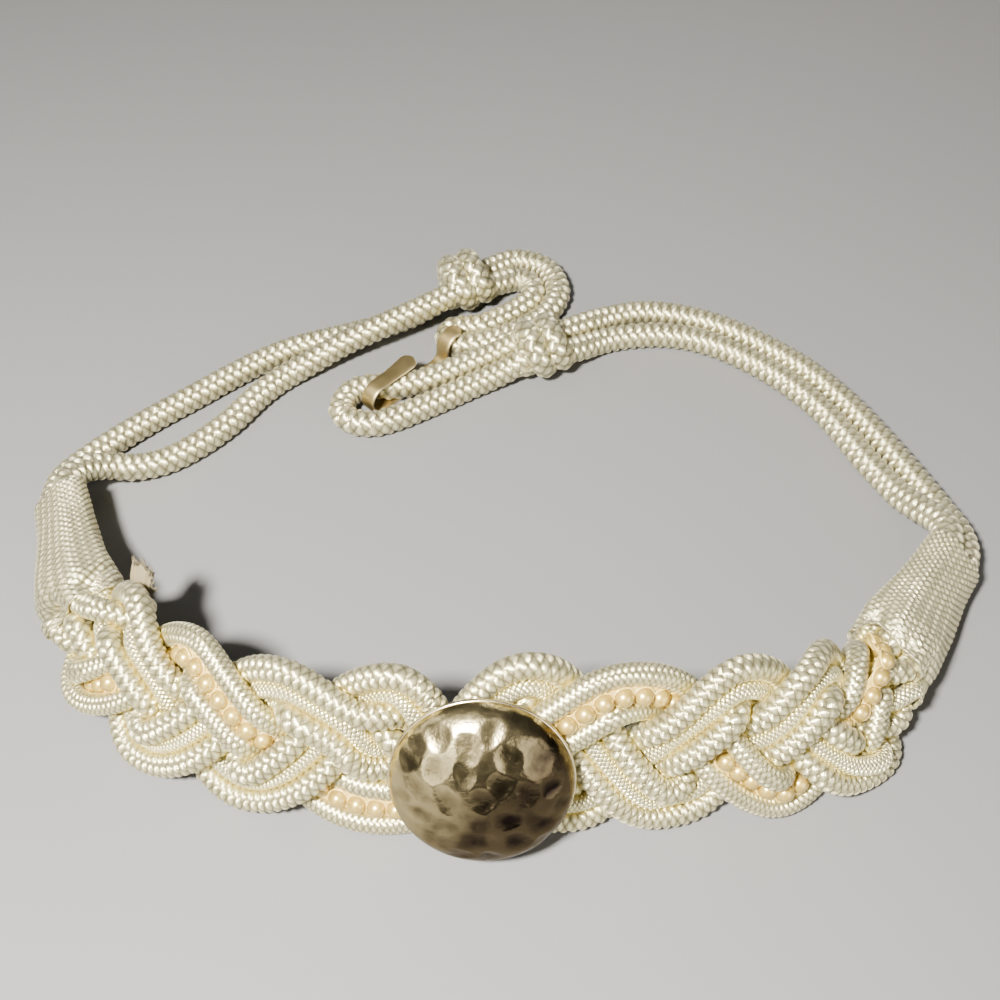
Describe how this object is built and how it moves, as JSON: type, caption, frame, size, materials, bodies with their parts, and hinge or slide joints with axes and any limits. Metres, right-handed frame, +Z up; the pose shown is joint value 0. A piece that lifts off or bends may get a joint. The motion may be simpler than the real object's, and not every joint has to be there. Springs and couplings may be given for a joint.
{
  "type": "braided belt",
  "caption": "Three-strand braided satin cord belt with a string of pearls, woven sleeves, a hammered metal dome in front and looped cord ties joined by a flat hook behind.",
  "frame": {"origin": "under the middle of the braid and its sleeves, on the surface that the belt lies on", "axes": "+X to the right along the front of the braid as seen from the dome's side, +Y from the dome back towards the closure, +Z up"},
  "size_m": [0.2981, 0.2522, 0.0539],
  "materials": {
    "satin_cord": "satin weave in chevrons",
    "ribbed_cord": "fine satin weave",
    "woven_cord": "round braided satin",
    "pearl_bead": "pearl",
    "hammered_metal": "polished, hammered",
    "hook_metal": "satin",
    "tape": "matt"
  },
  "bodies": {
    "root": {"first_strand_upper_cord": "satin_cord", "first_strand_ribbed_cord": "ribbed_cord", "first_strand_lower_cord": "satin_cord", "second_strand_upper_cord": "satin_cord", "second_strand_ribbed_cord": "ribbed_cord", "second_strand_lower_cord": "satin_cord", "pearl_strand_upper_cord": "satin_cord", "pearl_string": "pearl_bead", "pearl_strand_lower_cord": "satin_cord", "left_sleeve": "woven_cord", "right_sleeve": "woven_cord", "left_outer_cord": "woven_cord", "left_inner_cord": "woven_cord", "right_outer_cord": "woven_cord", "right_inner_cord": "woven_cord", "left_knot": "woven_cord", "right_knot": "woven_cord", "left_loop": "woven_cord", "right_loop": "woven_cord", "closure_hook": "hook_metal", "medallion": "hammered_metal", "frayed_tape_end": "tape"}
  },
  "joints": []
}
